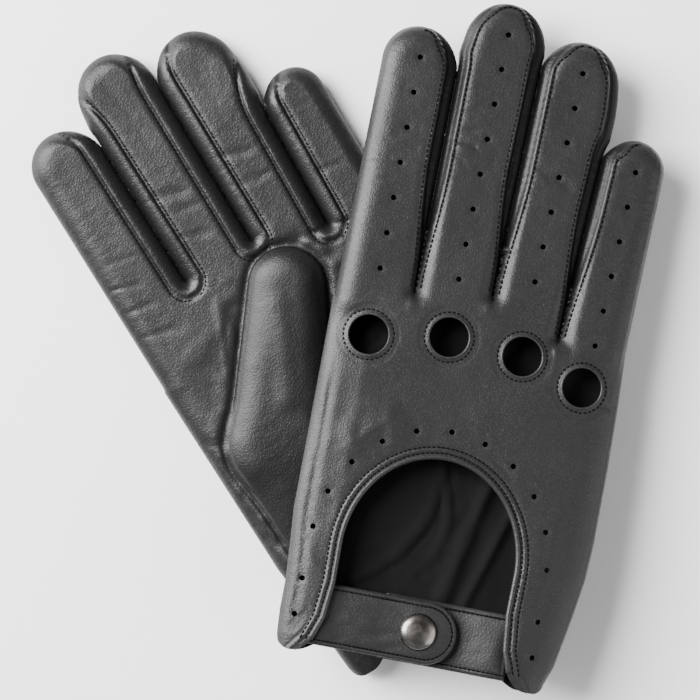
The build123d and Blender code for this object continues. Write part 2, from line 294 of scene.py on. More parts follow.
def vents():
    """Centres of the punched holes on the back."""
    found = []
    for finger in FINGERS:
        start = finger_reach(finger) - 11.4
        found += [finger_point(finger, start - i * VENT_PITCH) for i in range(finger[7])]
    cx, cy, half, arch = OPENING
    for i in range(-5, 6):
        turn = pi / 2 - i * VENT_PITCH / (half + 11.0)
        found.append((cx + (half + 10.5) * cos(turn), cy + (arch + 9.5) * sin(turn)))
    found += [(s * (half + 10.4 + i * 0.3), cy - 2 - i * VENT_PITCH) for i in (1, 2) for s in (-1, 1)]
    return found


VENTS = vents()


def hole_distance(x, y):
    """Distance outside the nearest hole or opening in the back."""
    near = polygon(x, y, opening_outline())
    for cx, cy in KNUCKLES:
        near = np.minimum(near, np.hypot(x - cx, y - cy) - KNUCKLE_R)
    for cx, cy in VENTS:
        near = np.minimum(near, np.hypot(x - cx, y - cy) - VENT_R)
    return near


# creases: x0, y0, x1, y1, width, depth (positive dents)
BACK_CREASES = {
    "right": (
        (-17.5, 86.0, -10.0, 84.5, 0.7, 0.5), (-16.5, 83.0, -11.0, 82.8, 1.6, -0.35),
        (12.5, 81.0, 19.0, 78.5, 0.8, 0.4), (20.0, 79.5, 25.0, 76.0, 0.8, 0.4),
        (-16.5, 88.5, -9.0, 90.0, 0.8, 0.35), (-16.0, 80.5, -12.0, 78.0, 0.7, 0.3),
        (-17.0, 95.0, -11.0, 96.5, 0.9, 0.25),
        (-44.0, 74.0, -36.0, 76.0, 0.9, 0.3), (-43.0, 66.0, -35.0, 69.0, 1.0, 0.22),
        (-38.0, -26.0, -18.0, -8.0, 5.0, -0.9), (-44.0, 2.0, -41.0, -40.0, 3.0, -0.4),
        (-30.0, -66.0, -38.0, -58.0, 1.2, 0.3),
        (14.0, -16.0, 24.0, -24.0, 0.8, 0.35), (33.0, 30.0, 34.5, 20.0, 0.9, 0.35),
        (-41.0, -86.0, -36.5, -78.0, 1.2, 0.3), (46.0, 8.0, 54.0, 6.0, 0.9, 0.3),
    ),
    "left": ((-30.0, 70.0, -38.0, 73.0, 0.9, 0.3), (-10.0, 84.0, 0.0, 82.0, 0.9, 0.3)),
}
PALM_CREASES = {
    "left": (
        (14.0, 47.0, 52.0, 39.0, 1.1, 0.9), (16.0, 43.5, 50.0, 36.0, 1.6, -0.6),
        (-46.0, 66.0, -34.0, 62.0, 1.0, 0.4), (-42.0, 74.0, -26.0, 70.0, 0.9, 0.35),
        (-44.0, 56.0, -34.0, 54.0, 1.2, 0.4), (-44.0, 46.0, -30.0, 42.0, 1.4, 0.3),
        (-14.0, 84.0, -2.0, 80.0, 1.0, 0.4), (-13.0, 76.0, 2.0, 74.0, 0.9, 0.3),
        (-14.0, 68.0, -4.0, 64.0, 1.2, 0.35), (12.0, 84.0, 24.0, 80.0, 1.0, 0.4),
        (14.0, 72.0, 26.0, 70.0, 0.9, 0.35), (38.0, 62.0, 46.0, 60.0, 0.8, 0.3),
        (-10.0, 40.0, -22.0, 16.0, 2.2, 0.8), (-14.0, 44.0, -27.0, 18.0, 1.2, -0.5),
        (-34.0, -2.0, -45.0, 4.0, 1.2, 0.4), (-42.0, -40.0, -46.0, -22.0, 1.3, 0.4),
        (-38.0, 30.0, -20.0, 34.0, 3.5, -0.4), (28.0, -4.0, 50.0, 6.0, 2.2, 0.5),
    ),
    "right": ((14.0, 47.0, 52.0, 39.0, 1.1, 0.8), (-46.0, 66.0, -34.0, 62.0, 1.0, 0.4)),
}


def creased(x, y, creases):
    dent = np.zeros(np.shape(x))
    for x0, y0, x1, y1, width, depth in creases:
        middle = ((x0 + x1) / 2, (y0 + y1) / 2)
        half = np.hypot(x1 - x0, y1 - y0) / 2
        wander = noise(x, y, 6.0, 5) * width * 0.9
        fade = np.clip(1.0 - (np.hypot(x - middle[0], y - middle[1]) / (half + 2.0)) ** 2, 0, 1)
        dent += depth * fade * bell(segment(x, y, (x0, y0), (x1, y1)) + wander, width)
    return dent


def knuckle_wrinkles(x, y, seed, strength):
    """Fine wrinkles across the fingers, strongest over the two finger joints."""
    total = np.zeros(np.shape(x))
    for finger in FINGERS:
        along, side = finger_along(finger, x, y)
        inside = smooth(15.0, 11.0, np.abs(side)) * smooth(-2.0, 12.0, along)
        joints = bell(along - 40.0, 12.0) + 0.6 * bell(along - 66.0, 8.0) + 0.25
        lines = noise(side, along * 3.4 + 0.25 * side, 3.1, seed) * 0.6
        lines = lines + noise(side, along * 4.5, 2.2, seed + 1) * 0.4
        total += inside * joints * lines
    return total * strength


def back_height(x, y, side, detail=True):
    """Height of the back's outer face over the pattern."""
    full, fingers = finger_outs(x, y)
    hand = polygon(x, y, list(HAND_SIDES) + [(tx, ty + 10.0) for tx, ty in BACK_TOP])
    crown = 0.74 * rise(-hand, 8.5) + 0.26 * smooth(0.0, 24.0, -hand)
    form = (DEPTH - MID) * crown + 1.4 * smooth(3.0, 30.0, -hand)
    for finger, out in zip(FINGERS, full):
        along = finger_along(finger, x, y)[0]
        round_over = (DEPTH - MID - 0.1) * rise(-out, 7.5)
        form = soft_max(form, round_over * smooth(-30.0, -14.0, along), 0.7)
    for i in range(3):
        form = np.minimum(form, (DEPTH - MID) * rise(slot_distance(i, x, y, False) - SLIT, 6.0))
    for i, (finger, out) in enumerate(zip(FINGERS, fingers)):
        aside = finger_along(finger, x, y)[1]
        inset = back_inset(i, x, y)
        past = -out - inset
        outer = (i == 0) & (aside < 0) | (i == 3) & (aside > 0)
        bottom = CROTCHES[max(i - 1, 0)][1] if i else 20.0
        top = CROTCHES[min(i, 2)][1] if i < 3 else 20.0
        reach = np.where(aside < 0, smooth(bottom - 4, bottom + 1, y), smooth(top - 4, top + 1, y))
        near = (out < 0.5) * reach
        sunk = near * ((aside > 0) & (i < 3)) * smooth(inset + 0.5, inset - 1.2, -out)
        form *= 1.0 - 0.5 * sunk
        ridge = np.where(outer, 0.18, 0.5)
        form += near * ridge * bell(past - 0.15, 0.55)
        form -= near * np.where(outer, 0.25, 0.55) * bell(past + 0.75, 0.5)
        form -= near * np.where(outer, 0.0, 0.22) * bell(past - 1.5, 0.55)
    for cx, cy, _, _ in CROTCHES:
        stem = segment(x, y, (cx, cy + 1.0), (cx - 0.8, cy - 8.5))
        form += 0.55 * bell(stem, 1.1) * smooth(cy - 9.0, cy - 3.0, y) * smooth(cy + 3.0, cy, y)
    edge = hole_distance(x, y)
    ring = np.full(np.shape(x), 99.0)
    for cx, cy in KNUCKLES:
        ring = np.minimum(ring, np.hypot(x - cx, y - cy) - KNUCKLE_R)
    form += 0.3 * bell(ring - 0.3, 0.75) - 0.22 * bell(ring - 1.65, 0.4)
    form -= 0.14 * bell(ring - 3.1, 0.5)
    mouth = polygon(x, y, opening_outline())
    form += 0.3 * bell(mouth - 2.9, 0.7) - 0.3 * bell(mouth - 1.95, 0.4) - 0.25 * bell(mouth - 3.9, 0.5)
    form -= 0.12 * bell(edge, 0.8) * (mouth > 2.0) * (ring > 2.0)
    if detail:
        away = smooth(0.0, 3.0, -np.minimum(hand, np.min(fingers, axis=0)))
        seed = 11 if side == "right" else 61
        form += 0.34 * noise(x, y, 21.0, seed) * away + 0.09 * noise(x, y, 8.0, seed + 1) * away
        form += 0.02 * noise(x, y, 2.6, seed + 2) * away
        form += knuckle_wrinkles(x, y, seed + 3, 0.10)
        form -= creased(x, y, BACK_CREASES[side])
        side_fold = (x < 0) * smooth(-84.0, -76.0, y) * smooth(8.0, -8.0, y)
        form -= 0.4 * bell(hand + 4.6, 1.15) * side_fold
        form -= 0.28 * bell(hand + 1.5, 0.4) * (x > 0) * smooth(-88.0, -80.0, y) * smooth(26.0, 14.0, y)
        lip = smooth(26.0, 0.0, mouth) * smooth(0.0, 6.0, mouth)
        form += 0.12 * noise(x + 0.6 * y, y - 0.4 * x, 2.4, seed + 6) * lip * smooth(-60.0, -40.0, y)
    if side == "left":
        form = -soft_max(-form, MID - DEPTH, 0.4)  # this glove lies on its back
    return MID + form


def palm_height(x, y, side, detail=True):
    """Height of the palm's outer face over the pattern. The palm bulges downwards."""
    full, fingers = finger_outs(x, y)
    hand = polygon(x, y, list(HAND_SIDES) + [(tx, ty + 10.0) for tx, ty in PALM_TOP])
    form = (MID - 0.2) * rise(-hand, 9.5)
    for finger, out in zip(FINGERS, full):
        along = finger_along(finger, x, y)[0]
        form = soft_max(form, (MID - 0.3) * rise(-out, 8.0) * smooth(-30.0, -14.0, along), 0.7)
    for i in range(3):
        away = slot_distance(i, x, y)
        start = CROTCHES[i][3]
        seam = away - PALM_SEAM
        fade = smooth(start - PALM_SEAM - 6, start - PALM_SEAM, y)
        form -= fade * (0.95 * bell(seam, 0.55) + 0.25 * bell(seam - 0.9, 0.8))
        form += fade * 0.45 * bell(seam - 3.2, 2.4) + fade * 0.5 * bell(seam + 2.8, 1.9)
        turned = np.arctan2(x - CROTCHES[i][2], start - y)
        gather = smooth(PALM_SEAM - 0.5, 2.5, away) * smooth(0.0, 2.0, away)
        gather = gather * smooth(start + 3.0, start - 1.0, y)
        form -= gather * (0.5 + 0.55 * np.cos(turned * 5.0 + i))
        form = np.minimum(form, (MID - 0.2) * rise(away - SLIT, 5.0))
    tips = np.full(np.shape(x), 99.0)
    for finger, out in zip(FINGERS, fingers):
        along = finger_along(finger, x, y)[0]
        tips = np.where(along > finger_reach(finger) - 16, np.minimum(tips, np.abs(-out - 1.3)), tips)
    form -= 0.45 * bell(tips, 0.45)
    if detail:
        away = smooth(0.0, 3.0, -np.minimum(hand, np.min(fingers, axis=0)))
        seed = 101 if side == "right" else 151
        form += 0.35 * noise(x, y, 19.0, seed) * away + 0.07 * noise(x, y, 7.5, seed + 1) * away
        form += 0.015 * noise(x, y, 2.4, seed + 2) * away
        form += knuckle_wrinkles(x, y, seed + 3, 0.07)
        form -= 0.8 * creased(x, y, PALM_CREASES[side])
        thumb = -thumb_distance(x, y)
        form -= 0.3 * noise(x, y, 3.2, seed + 5) * bell(thumb + 3.5, 4.5)
        form -= 1.0 * bell(thumb + 0.6, 1.3) * smooth(-62.0, -40.0, y)
    return MID - form


def thumb_distance(x, y):
    upper = capsule(x, y, THUMB[0], THUMB[1])
    lower = capsule(x, y, THUMB[1], THUMB[2])
    return -soft_max(-upper, -lower, 5.0)


def thumb_height(x, y, side):
    """Outer face of the thumb folded across the palm."""
    deep = -thumb_distance(x, y)
    full = 1.9 + 4.4 * smooth(-52.0, -8.0, y)
    form = full * rise(deep, 10.5 + 3.0 * smooth(0.0, -40.0, y))
    seed = 201 if side == "right" else 231
    away = smooth(0.0, 3.0, deep)
    form -= 0.35 * bell(deep - 1.5, 0.5) * smooth(-30.0, -10.0, y)
    form += (0.4 * noise(x, y, 17.0, seed) + 0.07 * noise(x, y, 6.0, seed + 1)) * away
    form += 0.03 * noise(x * 0.5 + y * 0.3, y * 1.6 - x * 0.6, 2.6, seed + 2) * away
    form += 0.5 * bell(segment(x, y, (2.0, 30.0), (-12.0, 2.0)), 4.0)
    return -0.25 - np.maximum(form, 0.0)


# ---------------------------------------------------------------- meshing
def gradient(distance, x, y):
    step = 0.02
    gx = (distance(x + step, y) - distance(x - step, y)) / (2 * step)
    gy = (distance(x, y + step) - distance(x, y - step)) / (2 * step)
    size = np.maximum(np.hypot(gx, gy), 1e-6)
    return gx / size, gy / size


def circle_points(cx, cy, radius, step):
    turns = np.linspace(0, 2 * pi, max(8, int(2 * pi * radius / step)), endpoint=False)
    return np.stack([cx + radius * np.cos(turns), cy + radius * np.sin(turns)], 1)


def line_points(points, step, closed=True):
    out = []
    ends = points[1:] + points[:1] if closed else points[1:]
    for a, b in zip(points, ends):
        count = max(1, int(np.hypot(b[0] - a[0], b[1] - a[1]) / step))
        t = np.arange(count)[:, None] / count
        out.append(np.array(a) + t * (np.array(b) - np.array(a)))
    return np.concatenate(out)


def capsule_points(a, b, step):
    way = np.arctan2(b[1] - a[1], b[0] - a[0])
    tilt = np.arcsin((a[2] - b[2]) / np.hypot(b[0] - a[0], b[1] - a[1]))
    out = []
    arcs = ((b, -pi / 2 + tilt, pi / 2 - tilt), (a, pi / 2 - tilt, 1.5 * pi + tilt))
    for (cx, cy, radius), low, high in arcs:
        count = max(6, int((high - low) * radius / step))
        turns = way + np.linspace(low, high, count)
        out.append(np.stack([cx + radius * np.cos(turns), cy + radius * np.sin(turns)], 1))
    sides = []
    for turn in (way + pi / 2 - tilt, way - pi / 2 + tilt):
        p = (a[0] + a[2] * np.cos(turn), a[1] + a[2] * np.sin(turn))
        q = (b[0] + b[2] * np.cos(turn), b[1] + b[2] * np.sin(turn))
        sides.append(line_points([p, q], step, closed=False))
    return np.concatenate(out + sides)


def flat_mesh(distance, edges, rows, grid):
    """Triangles over where distance is negative, with rows of points along the edges."""
    on_edge = edges[np.abs(distance(edges[:, 0], edges[:, 1])) < 0.03]
    layers = [on_edge]
    gx, gy = gradient(distance, on_edge[:, 0], on_edge[:, 1])
    for row in rows:
        p = on_edge - row * np.stack([gx, gy], 1)
        gap = np.abs(distance(p[:, 0], p[:, 1]) + row)
        layers.append(p[gap < 0.12 * row + 0.03])
    low, high = edges.min(0), edges.max(0)
    xs = np.arange(low[0], high[0], grid)
    ys = np.arange(low[1], high[1], grid * 0.866)
    px, py = np.meshgrid(xs, ys)
    px = px + (np.arange(len(ys)) % 2)[:, None] * grid / 2
    px, py = px.ravel(), py.ravel()
    inside = -distance(px, py)
    deep = inside > rows[-1] + 0.4 * grid
    rest = np.stack([px, py], 1)[(inside > 0.4 * grid) & ~deep]
    near = np.concatenate(layers)
    tree = KDTree(len(near))
    for number, point in enumerate(near.tolist()):
        tree.insert((*point, 0.0), number)
    tree.balance()
    lonely = np.array([tree.find((*point, 0.0))[2] > 0.62 * grid for point in rest.tolist()], bool)
    layers += [np.stack([px[deep], py[deep]], 1), rest[lonely]]
    points = np.concatenate(layers)
    keys = np.round(points / 0.34).astype(np.int64)
    _, first = np.unique(keys[:, 0] * 100003 + keys[:, 1], return_index=True)
    points = points[np.sort(first)]
    result = delaunay_2d_cdt([Vector(p) for p in points], [], [], 0, 1e-5)
    flat = np.array([tuple(v) for v in result[0]])
    tris = np.array([f for f in result[2] if len(f) == 3])
    centre = flat[tris].mean(1)
    tris = tris[distance(centre[:, 0], centre[:, 1]) < -0.005]
    a, b, c = flat[tris[:, 0]], flat[tris[:, 1]], flat[tris[:, 2]]
    area = (b[:, 0] - a[:, 0]) * (c[:, 1] - a[:, 1]) - (b[:, 1] - a[:, 1]) * (c[:, 0] - a[:, 0])
    tris = tris[np.abs(area) > 1e-4]
    area = area[np.abs(area) > 1e-4]
    tris[area < 0] = tris[area < 0][:, ::-1]
    return flat, tris


def round_meet(a, b, radius):
    """Inside both shapes, with the corners where they meet rounded off."""
    u, v = np.maximum(radius + a, 0.0), np.maximum(radius + b, 0.0)
    return np.minimum(-radius, np.maximum(a, b)) + np.hypot(u, v)


def palm_cuff(x):
    """The palm's cuff line, which draws up behind the strap."""
    return CUFF_Y + 5.5 * smooth(38.0, 26.0, np.abs(x - 0.5))


def back_domain(x, y):
    hand, fingers = outline_distance(x, y, True)
    solid = round_meet(np.minimum(hand, np.min(fingers, axis=0)), CUFF_Y - y, 3.2)
    mouth = polygon(x, y, opening_outline())
    solid = np.where(y < -70.0, round_meet(solid, -mouth, 2.4), np.maximum(solid, -mouth))
    return np.maximum(solid, -hole_distance(x, y))


def palm_domain(x, y):
    hand, fingers = outline_distance(x, y, True)
    return round_meet(np.minimum(hand, np.min(fingers, axis=0)), palm_cuff(x) - y, 3.2)


def pulled_to(shape, points, low, high):
    """The points in a range of y, moved onto the edge of a shape."""
    points = points[(points[:, 1] > low) & (points[:, 1] < high)]
    for _ in range(6):
        x, y = points[:, 0], points[:, 1]
        gx, gy = gradient(shape, x, y)
        points = points - 0.9 * shape(x, y)[:, None] * np.stack([gx, gy], 1)
    return points


def glove_edges(step):
    parts = [line_points(hand_outline(PALM_TOP), step)]
    parts += [finger_edge(i, step) for i in range(4)]
    return np.concatenate(parts)


def cuff_edges(shape):
    """Points along a skin's cuff, where its corners are rounded."""
    x = np.arange(-48.0, 56.0, 0.45)
    rows = [np.stack([x, np.full(len(x), y)], 1) for y in (-92.0, -90.0, -87.0, -84.0)]
    loose = np.concatenate(rows + [line_points(opening_outline(), 0.6, closed=False)])
    loose = loose[np.abs(shape(loose[:, 0], loose[:, 1])) < 4.0]
    return pulled_to(shape, loose, -97.0, -76.0)


def hole_edges():
    parts = [line_points(opening_outline(), 0.7, closed=False)]
    parts += [circle_points(cx, cy, KNUCKLE_R, 0.8) for cx, cy in KNUCKLES]
    parts += [circle_points(cx, cy, VENT_R, 0.5) for cx, cy in VENTS]
    return np.concatenate(parts)


def normals_of(points, tris):
    a, b, c = points[tris[:, 0]], points[tris[:, 1]], points[tris[:, 2]]
    face = np.cross(b - a, c - a)
    total = np.zeros_like(points)
    for k in range(3):
        np.add.at(total, tris[:, k], face)
    return total / np.maximum(np.linalg.norm(total, axis=1, keepdims=True), 1e-9)


def place_points(points, side):
    place = np.array(PLACES[side])
    return points @ place[:3, :3].T + place[:3, 3]


def new_object(name, points, faces, side, normals=None, slots=(), face_slots=None):
    """A mesh object from pattern-frame points; faces is an array or a list of index lists."""
    mirror = side == "left"
    rows = faces.tolist() if hasattr(faces, "tolist") else faces
    loops = [list(f)[::-1] if mirror else list(f) for f in rows]
    mesh = bpy.data.meshes.new(name)
    mesh.from_pydata(place_points(points, side).tolist(), [], loops)
    for material in slots:
        mesh.materials.append(material)
    if face_slots is not None:
        mesh.polygons.foreach_set("material_index", np.asarray(face_slots, np.int32))
    mesh.polygons.foreach_set("use_smooth", np.ones(len(mesh.polygons), bool))
    mesh.update()
    if normals is not None:
        turn = np.array(PLACES[side])[:3, :3] / MM
        mesh.normals_split_custom_set_from_vertices((normals @ turn.T).tolist())
    item = bpy.data.objects.new(name, mesh)
    bpy.context.scene.collection.objects.link(item)
    return item


def piece(name, points, normals, tris, side, material, inner=None, rim_test=None, relief=None):
    """Part of a skin as its own object, with a flesh side and cut edges if asked."""
    used, index = np.unique(tris, return_inverse=True)
    tris = index.reshape(-1, 3)
    points, normals = points[used], normals[used]
    verts, norms, faces, slots = [points], [normals], [tris], [np.zeros(len(tris), int)]
    materials = [material]
    if inner is not None:
        materials.append(inner)
        count = len(points)
        below = points - normals * SKIN
        inside = -normals
        if relief is not None:
            below[:, 2] += relief(points[:, 0], points[:, 1])
            inside = normals_of(below, tris[:, ::-1])
        verts.append(below)
        norms.append(inside)
        faces.append(tris[:, ::-1] + count)
        slots.append(np.ones(len(tris), int))
        pairs = np.concatenate([tris[:, [0, 1]], tris[:, [1, 2]], tris[:, [2, 0]]])
        key = np.sort(pairs, 1) @ np.array([count, 1])
        _, where, times = np.unique(key, return_index=True, return_counts=True)
        rim = pairs[where[times == 1]]
        middle = points[rim].mean(1)
        rim = rim[rim_test(middle[:, 0], middle[:, 1])]
        a, b = points[rim[:, 0]], points[rim[:, 1]]
        c, d = below[rim[:, 1]], below[rim[:, 0]]
        side_way = np.cross(b - a, normals[rim[:, 0]])
        side_way /= np.maximum(np.linalg.norm(side_way, axis=1, keepdims=True), 1e-9)
        verts.append(np.stack([a, b, c, d], 1).reshape(-1, 3))
        norms.append(np.repeat(side_way, 4, axis=0))
        base = 2 * count + 4 * np.arange(len(rim))[:, None]
        faces.append(np.concatenate([base + [[1, 0, 3]], base + [[1, 3, 2]]]))
        slots.append(np.zeros(2 * len(rim), int))
    return new_object(
        name, np.concatenate(verts), np.concatenate(faces), side,
        np.concatenate(norms), materials, np.concatenate(slots),
    )


# ---------------------------------------------------------------- materials
def group(name, inputs, outputs):
    """An empty shader node group with its group input and output nodes."""
    tree = bpy.data.node_groups.new(name, "ShaderNodeTree")
    for label, kind, value in inputs:
        socket = tree.interface.new_socket(label, in_out="INPUT", socket_type=kind)
        if value is not None:
            socket.default_value = value
    for label, kind in outputs:
        tree.interface.new_socket(label, in_out="OUTPUT", socket_type=kind)
    return tree, tree.nodes.new("NodeGroupInput"), tree.nodes.new("NodeGroupOutput")


def add(tree, kind, links=(), **values):
    """A node with its plain settings, named socket values and links in."""
    node = tree.nodes.new(kind)
    for key, value in values.items():
        if key in ("sockets",):
            for label, amount in value.items():
                node.inputs[label].default_value = amount
        else:
            setattr(node, key, value)
    for label, source in links:
        tree.links.new(source, node.inputs[label])
    return node


def ramp(tree, source, low, high, low_value=0.0, high_value=1.0):
    node = add(tree, "ShaderNodeMapRange", [("Value", source)])
    ends = (("From Min", low), ("From Max", high), ("To Min", low_value), ("To Max", high_value))
    for label, value in ends:
        node.inputs[label].default_value = value
    return node.outputs["Result"]


def leather_grain():
    """Fine hair-sheep grain: height for a bump and a mask of the little valleys."""
    tree, given, out = group(
        "leather_grain",
        [("Coordinate", "NodeSocketVector", None), ("Cell", "NodeSocketFloat", 900.0)],
        [("Height", "NodeSocketFloat"), ("Valleys", "NodeSocketFloat")],
    )
    warp = add(
        tree, "ShaderNodeTexNoise", [("Vector", given.outputs[0])], sockets={"Scale": 420.0, "Detail": 2.0},
    )
    push = add(tree, "ShaderNodeVectorMath", [(0, warp.outputs["Color"])], operation="SCALE")
    push.inputs["Scale"].default_value = 0.0012
    where = add(tree, "ShaderNodeVectorMath", [(0, given.outputs[0]), (1, push.outputs[0])], operation="ADD")
    cells = add(
        tree, "ShaderNodeTexVoronoi", [("Vector", where.outputs[0]), ("Scale", given.outputs[1])],
        feature="DISTANCE_TO_EDGE",
    )
    pore = ramp(tree, cells.outputs["Distance"], 0.0, 0.32)
    fine = add(
        tree, "ShaderNodeTexNoise", [("Vector", where.outputs[0])], sockets={"Scale": 1500.0, "Detail": 4.0},
    )
    total = add(tree, "ShaderNodeMath", [(0, pore), (1, fine.outputs["Fac"])], operation="ADD")
    tree.links.new(total.outputs[0], out.inputs["Height"])
    tree.links.new(pore, out.inputs["Valleys"])
    return tree


def wear():
    """Where the finish is rubbed: soft clouds, and the proud parts of the form."""
    tree, given, out = group(
        "wear",
        [("Coordinate", "NodeSocketVector", None), ("Scale", "NodeSocketFloat", 34.0)],
        [("Clouds", "NodeSocketFloat"), ("Proud", "NodeSocketFloat"), ("Streaks", "NodeSocketFloat")],
    )
    clouds = add(
        tree, "ShaderNodeTexNoise", [("Vector", given.outputs[0]), ("Scale", given.outputs[1])],
        sockets={"Detail": 5.0, "Roughness": 0.6},
    )
    shape = add(tree, "ShaderNodeNewGeometry")
    streaks = add(
        tree, "ShaderNodeTexNoise", [("Vector", given.outputs[0])],
        sockets={"Scale": 190.0, "Detail": 3.0, "Distortion": 1.6},
    )
    tree.links.new(ramp(tree, clouds.outputs["Fac"], 0.3, 0.7), out.inputs["Clouds"])
    tree.links.new(ramp(tree, shape.outputs["Pointiness"], 0.5, 0.56), out.inputs["Proud"])
    tree.links.new(ramp(tree, streaks.outputs["Fac"], 0.35, 0.7), out.inputs["Streaks"])
    return tree


GRAIN = leather_grain()
WEAR = wear()


def use_group(tree, which, coordinate, **values):
    node = tree.nodes.new("ShaderNodeGroup")
    node.node_tree = which
    tree.links.new(coordinate, node.inputs["Coordinate"])
    for label, value in values.items():
        node.inputs[label].default_value = value
    return node


def blank_material(name):
    material = bpy.data.materials.new(name)
    material.use_nodes = True
    tree = material.node_tree
    shader = tree.nodes["Principled BSDF"]
    where = tree.nodes.new("ShaderNodeTexCoord").outputs["Object"]
    return material, tree, shader, where


def leather(name, dark, light, roughness, grain=0.5, cell=900.0):
    """Dyed nappa with fine grain, softly polished where it is proud; some copies are made darker as painted
    shade, and one lighter as a painted highlight.
    """
    material, tree, shader, where = blank_material(name)
    grains = use_group(tree, GRAIN, where, Cell=cell)
    worn = use_group(tree, WEAR, where)
    tone = add(tree, "ShaderNodeMix", [("Factor", worn.outputs["Clouds"])], data_type="RGBA")
    tone.inputs[6].default_value = (*dark, 1)
    tone.inputs[7].default_value = (*light, 1)
    rubbed = add(
        tree, "ShaderNodeMix", [("Factor", worn.outputs["Proud"]), (6, tone.outputs[2])], data_type="RGBA",
    )
    rubbed.inputs[7].default_value = (*[c * 1.2 for c in light], 1)
    deep = add(
        tree, "ShaderNodeMix", [("Factor", grains.outputs["Valleys"]), (7, rubbed.outputs[2])], data_type="RGBA",
    )
    deep.inputs[6].default_value = (*[c * 0.86 for c in dark], 1)
    tree.links.new(deep.outputs[2], shader.inputs["Base Color"])
    gloss = add(tree, "ShaderNodeMath", [(0, worn.outputs["Clouds"])], operation="MULTIPLY_ADD")
    gloss.inputs[1].default_value = -0.10
    gloss.inputs[2].default_value = roughness + 0.05
    tree.links.new(gloss.outputs[0], shader.inputs["Roughness"])
    relief = {"Strength": grain * 0.8, "Distance": 0.0001}
    bump = add(tree, "ShaderNodeBump", [("Height", grains.outputs["Height"])], sockets=relief)
    soft = add(tree, "ShaderNodeBump", [("Height", worn.outputs["Streaks"]), ("Normal", bump.outputs[0])],
               sockets={"Strength": 0.12, "Distance": 0.0003})
    tree.links.new(soft.outputs[0], shader.inputs["Normal"])
    shader.inputs["Specular IOR Level"].default_value = 0.33
    return material


def suede(name, dark, light):
    """The flesh side: matt, short nap."""
    material, tree, shader, where = blank_material(name)
    worn = use_group(tree, WEAR, where, Scale=60.0)
    tone = add(tree, "ShaderNodeMix", [("Factor", worn.outputs["Clouds"])], data_type="RGBA")
    tone.inputs[6].default_value = (*dark, 1)
    tone.inputs[7].default_value = (*light, 1)
    tree.links.new(tone.outputs[2], shader.inputs["Base Color"])
    nap = add(tree, "ShaderNodeTexNoise", [("Vector", where)], sockets={"Scale": 1400.0, "Detail": 5.0})
    relief = {"Strength": 0.5, "Distance": 0.0002}
    bump = add(tree, "ShaderNodeBump", [("Height", nap.outputs["Fac"])], sockets=relief)
    tree.links.new(bump.outputs[0], shader.inputs["Normal"])
    shader.inputs["Roughness"].default_value = 0.9
    shader.inputs["Specular IOR Level"].default_value = 0.15
    return material


def thread(name, colour):
    material, tree, shader, where = blank_material(name)
    twist = add(tree, "ShaderNodeTexWave", [("Vector", where)], sockets={"Scale": 900.0, "Distortion": 1.0})
    tone = add(tree, "ShaderNodeMix", [("Factor", twist.outputs["Fac"])], data_type="RGBA")
    tone.inputs[6].default_value = (*[c * 0.6 for c in colour], 1)
    tone.inputs[7].default_value = (*colour, 1)
    tree.links.new(tone.outputs[2], shader.inputs["Base Color"])
    shader.inputs["Roughness"].default_value = 0.85
    shader.inputs["Specular IOR Level"].default_value = 0.1
    return material


def stud_metal(name):
    """Antique nickel: dark, satin, brighter where the dome is rubbed."""
    material, tree, shader, where = blank_material(name)
    worn = use_group(tree, WEAR, where, Scale=160.0)
    tone = add(tree, "ShaderNodeMix", [("Factor", worn.outputs["Clouds"])], data_type="RGBA")
    tone.inputs[6].default_value = (0.110, 0.098, 0.090, 1)
    tone.inputs[7].default_value = (0.300, 0.285, 0.272, 1)
    tree.links.new(tone.outputs[2], shader.inputs["Base Color"])
    rough = ramp(tree, worn.outputs["Streaks"], 0.0, 1.0, 0.24, 0.36)
    tree.links.new(rough, shader.inputs["Roughness"])
    shader.inputs["Metallic"].default_value = 1.0
    return material


NAPPA = leather("nappa", (0.0126, 0.0126, 0.0127), (0.0182, 0.0182, 0.0183), 0.43, 0.52, 1000.0)
PALM_NAPPA = leather("palm_nappa", (0.0078, 0.0078, 0.0079), (0.0120, 0.0120, 0.0121), 0.43, 0.52, 1000.0)
# the thumb: a darker copy of the palm nappa, painted shade on the thumb
THUMB_PAINTED_SHADE = leather("thumb_nappa_painted_shade", (0.0042, 0.0042, 0.0043), (0.0070, 0.0070, 0.0071), 0.45, 0.50, 1000.0)
# the walls between the fingers on the palm: a darker copy of the palm nappa, painted shade
PALM_WALL_PAINTED_SHADE = leather("palm_wall_nappa_painted_shade", (0.0056, 0.0056, 0.0057), (0.0084, 0.0084, 0.0085), 0.40, 0.45)
# the walls between the fingers on the back: a much darker copy of the nappa, painted shade in the slots
BACK_WALL_PAINTED_SHADE = leather("back_wall_nappa_painted_shade", (0.0030, 0.0030, 0.0030), (0.0045, 0.0045, 0.0046), 0.5)
STRAP_NAPPA = leather("strap_nappa", (0.0112, 0.0112, 0.0113), (0.0150, 0.0150, 0.0151), 0.50, 0.6)
# the turned edges of the knuckle holes and keyhole: a lighter, glossier copy of the nappa, painted highlight on
# the rolled edges
EDGE_PAINTED_HIGHLIGHT = leather(
    "turned_edge_nappa_painted_highlight", (0.0170, 0.0170, 0.0171), (0.0220, 0.0220, 0.0221), 0.40, 0.4, 1100.0
)
# the flesh side: dark suede, made darker still as painted shade inside the glove and its holes
FLESH_AND_PAINTED_SHADE = suede("flesh_side_and_painted_shade", (0.0022, 0.0022, 0.0023), (0.0038, 0.0038, 0.0039))
THREAD = thread("thread", (0.0020, 0.0020, 0.0020))
METAL = stud_metal("antique_nickel")


# ---------------------------------------------------------------- small pieces
# along a stitch from its end inwards: shift and size of each ring, in radii
CAPSULE_RINGS = ((-0.9, 0.35), (-0.35, 0.85), (0.3, 1.0))


